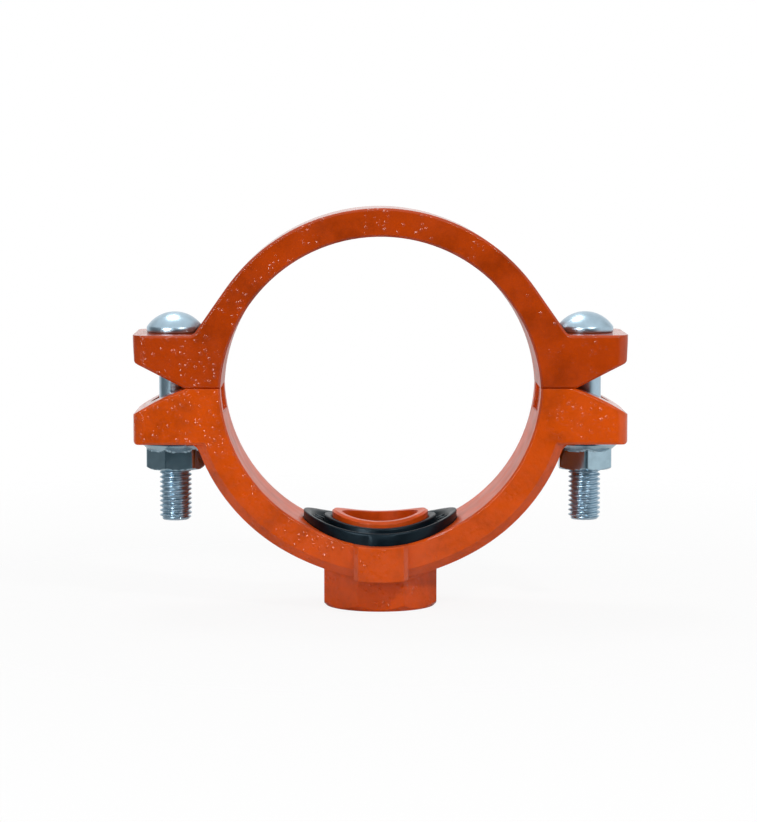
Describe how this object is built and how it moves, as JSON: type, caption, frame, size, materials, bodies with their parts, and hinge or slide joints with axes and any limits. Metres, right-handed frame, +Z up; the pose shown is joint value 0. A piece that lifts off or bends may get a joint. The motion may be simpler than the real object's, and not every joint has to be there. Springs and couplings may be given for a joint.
{
  "type": "mechanical tee",
  "caption": "Cast saddle clamp for a steel run pipe, with a rubber saddle gasket and a female-threaded side outlet, closed by track-head bolts and flange nuts.",
  "frame": {"origin": "where the outlet axis meets the parting plane of the two castings, midway along the run pipe", "axes": "+X across the bolts, +Y along the run pipe, +Z up from the outlet half to the strap half; the outlet points to -Z"},
  "size_m": [0.1792, 0.0648, 0.1464],
  "materials": {
    "painted_casting": "orange enamel over a cast surface",
    "gasket_rubber": "moulded black rubber",
    "zinc_steel": "bright zinc plate"
  },
  "bodies": {
    "outlet_half": {"outlet_housing": "painted_casting", "gasket": "gasket_rubber"},
    "strap_half": {"strap_housing": "painted_casting", "left_bolt": "zinc_steel", "right_bolt": "zinc_steel"},
    "left_nut_body": {"left_nut": "zinc_steel"},
    "right_nut_body": {"right_nut": "zinc_steel"}
  },
  "joints": [
    {"name": "left_nut_turn", "type": "hinge", "parent": "outlet_half", "child": "left_nut_body", "pos_m": [-0.0753, 0, -0.0256], "axis": [0, 0, 1], "range_deg": [-3702.9, 0]},
    {"name": "right_nut_turn", "type": "hinge", "parent": "outlet_half", "child": "right_nut_body", "pos_m": [0.0753, 0, -0.0256], "axis": [0, 0, 1], "range_deg": [-3702.9, 0]},
    {"name": "strap_lift", "type": "slide", "parent": "outlet_half", "child": "strap_half", "axis": [0, 0, 1], "range_m": [0, 0.018]}
  ],
  "couplings": [
    {"joint": "left_nut_turn", "follows": "strap_lift", "rad_per_m": -3590.4},
    {"joint": "right_nut_turn", "follows": "strap_lift", "rad_per_m": -3590.4}
  ]
}
